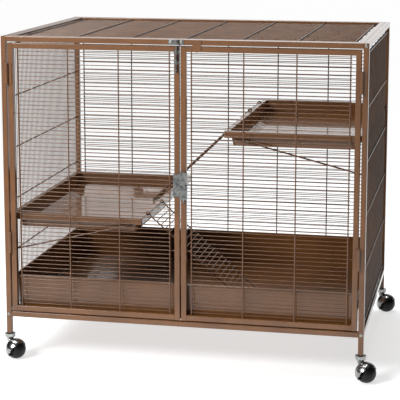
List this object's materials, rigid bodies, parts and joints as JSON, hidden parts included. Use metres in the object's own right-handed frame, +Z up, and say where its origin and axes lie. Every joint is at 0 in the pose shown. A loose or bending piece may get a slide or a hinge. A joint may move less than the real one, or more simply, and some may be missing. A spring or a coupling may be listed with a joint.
{
  "type": "ferret cage",
  "caption": "Free-standing small-animal cage of square steel tube and welded wire, with double doors, metal shelves, wire ramps, a deep tray and swivelling ball casters.",
  "frame": {"origin": "on the floor under the middle of the cage, at the bottom centre of its box", "axes": "+X along the doors to the viewer's right, +Y from the doors to the back, +Z up"},
  "size_m": [0.9802, 0.7026, 0.829],
  "materials": {
    "hammered_paint": "brown hammered enamel, gloss",
    "galvanised_wire": "hot-dipped zinc",
    "zinc": "bright zinc",
    "chrome": "polished",
    "wheel_rubber": "satin",
    "black_plastic": "matte"
  },
  "bodies": {
    "cage": {"post_front_left": "hammered_paint", "post_front_right": "hammered_paint", "post_back_left": "hammered_paint", "post_back_right": "hammered_paint", "rail_front_top": "hammered_paint", "rail_front_bottom": "hammered_paint", "rail_back_top": "hammered_paint", "rail_back_bottom": "hammered_paint", "side_top_rails": "hammered_paint", "side_bottom_rails": "hammered_paint", "roof_frame_tubes": "hammered_paint", "tray_support_bars": "hammered_paint", "grille_left": "hammered_paint", "grille_right": "hammered_paint", "grille_back": "hammered_paint", "grille_roof": "hammered_paint", "tray": "hammered_paint", "upper_shelf_pan": "hammered_paint", "lower_shelf_pan": "hammered_paint", "upper_shelf_braces": "hammered_paint", "lower_shelf_braces": "hammered_paint", "shelf_clip_bolts": "hammered_paint", "hinge_post_leaves": "hammered_paint", "hinge_pins": "galvanised_wire", "bolt_saddle": "zinc", "caster_stems": "galvanised_wire", "leg_sockets": "black_plastic", "frame_screws": "zinc"},
    "left_door": {"left_door_outer_stile": "hammered_paint", "left_door_meeting_stile": "hammered_paint", "left_door_top_rail": "hammered_paint", "left_door_bottom_rail": "hammered_paint", "left_door_grille": "hammered_paint", "left_door_hinge_leaves": "hammered_paint", "top_bolt_guides": "zinc", "latch_keeper": "zinc"},
    "right_door": {"right_door_outer_stile": "hammered_paint", "right_door_meeting_stile": "hammered_paint", "right_door_top_rail": "hammered_paint", "right_door_bottom_rail": "hammered_paint", "right_door_grille": "hammered_paint", "right_door_hinge_leaves": "hammered_paint", "latch_housing": "zinc", "stop_tab": "hammered_paint"},
    "top_bolt": {"top_bolt": "zinc"},
    "latch_bolt": {"latch_bolt": "zinc"},
    "upper_ramp": {"upper_ramp": "hammered_paint"},
    "lower_ramp": {"lower_ramp": "hammered_paint"},
    "caster_front_left": {"caster_hood_front_left": "chrome", "caster_axle_front_left": "galvanised_wire"},
    "wheel_front_left": {"caster_wheel_front_left": "wheel_rubber"},
    "caster_front_right": {"caster_hood_front_right": "chrome", "caster_axle_front_right": "galvanised_wire"},
    "wheel_front_right": {"caster_wheel_front_right": "wheel_rubber"},
    "caster_back_left": {"caster_hood_back_left": "chrome", "caster_axle_back_left": "galvanised_wire"},
    "wheel_back_left": {"caster_wheel_back_left": "wheel_rubber"},
    "caster_back_right": {"caster_hood_back_right": "chrome", "caster_axle_back_right": "galvanised_wire"},
    "wheel_back_right": {"caster_wheel_back_right": "wheel_rubber"}
  },
  "joints": [
    {"name": "left_door_hinge", "type": "hinge", "parent": "cage", "child": "left_door", "pos_m": [-0.44175, -0.3243, 0.46925], "axis": [0, 0, -1], "range_deg": [0, 170]},
    {"name": "right_door_hinge", "type": "hinge", "parent": "cage", "child": "right_door", "pos_m": [0.44175, -0.3243, 0.46925], "axis": [0, 0, 1], "range_deg": [0, 170]},
    {"name": "top_bolt_slide", "type": "slide", "parent": "left_door", "child": "top_bolt", "axis": [0, 0, 1], "range_m": [0, 0.014]},
    {"name": "latch_bolt_slide", "type": "slide", "parent": "right_door", "child": "latch_bolt", "axis": [-1, 0, 0], "range_m": [0, 0.009]},
    {"name": "upper_ramp_pivot", "type": "hinge", "parent": "cage", "child": "upper_ramp", "pos_m": [0.10455, 0.154, 0.6034], "axis": [0, 1, 0], "range_deg": [0, 70]},
    {"name": "lower_ramp_pivot", "type": "hinge", "parent": "cage", "child": "lower_ramp", "pos_m": [-0.10455, -0.154, 0.3754], "axis": [0, -1, 0], "range_deg": [0, 70]},
    {"name": "swivel_front_left", "type": "hinge", "parent": "cage", "child": "caster_front_left", "pos_m": [-0.45025, -0.31325, 0.055], "axis": [0, 0, 1], "continuous": true},
    {"name": "spin_front_left", "type": "hinge", "parent": "caster_front_left", "child": "wheel_front_left", "pos_m": [-0.43212, -0.3217, 0.0248], "axis": [0.4226, 0.9063, 0], "continuous": true},
    {"name": "swivel_front_right", "type": "hinge", "parent": "cage", "child": "caster_front_right", "pos_m": [0.45025, -0.31325, 0.055], "axis": [0, 0, 1], "continuous": true},
    {"name": "spin_front_right", "type": "hinge", "parent": "caster_front_right", "child": "wheel_front_right", "pos_m": [0.46534, -0.32637, 0.0248], "axis": [0.6561, 0.7547, 0], "continuous": true},
    {"name": "swivel_back_left", "type": "hinge", "parent": "cage", "child": "caster_back_left", "pos_m": [-0.45025, 0.31325, 0.055], "axis": [0, 0, 1], "continuous": true},
    {"name": "spin_back_left", "type": "hinge", "parent": "caster_back_left", "child": "wheel_back_left", "pos_m": [-0.46534, 0.32637, 0.0248], "axis": [-0.6561, -0.7547, 0], "continuous": true},
    {"name": "swivel_back_right", "type": "hinge", "parent": "cage", "child": "caster_back_right", "pos_m": [0.45025, 0.31325, 0.055], "axis": [0, 0, 1], "continuous": true},
    {"name": "spin_back_right", "type": "hinge", "parent": "caster_back_right", "child": "wheel_back_right", "pos_m": [0.46534, 0.30013, 0.0248], "axis": [0.6561, 0.7547, 0], "continuous": true}
  ]
}
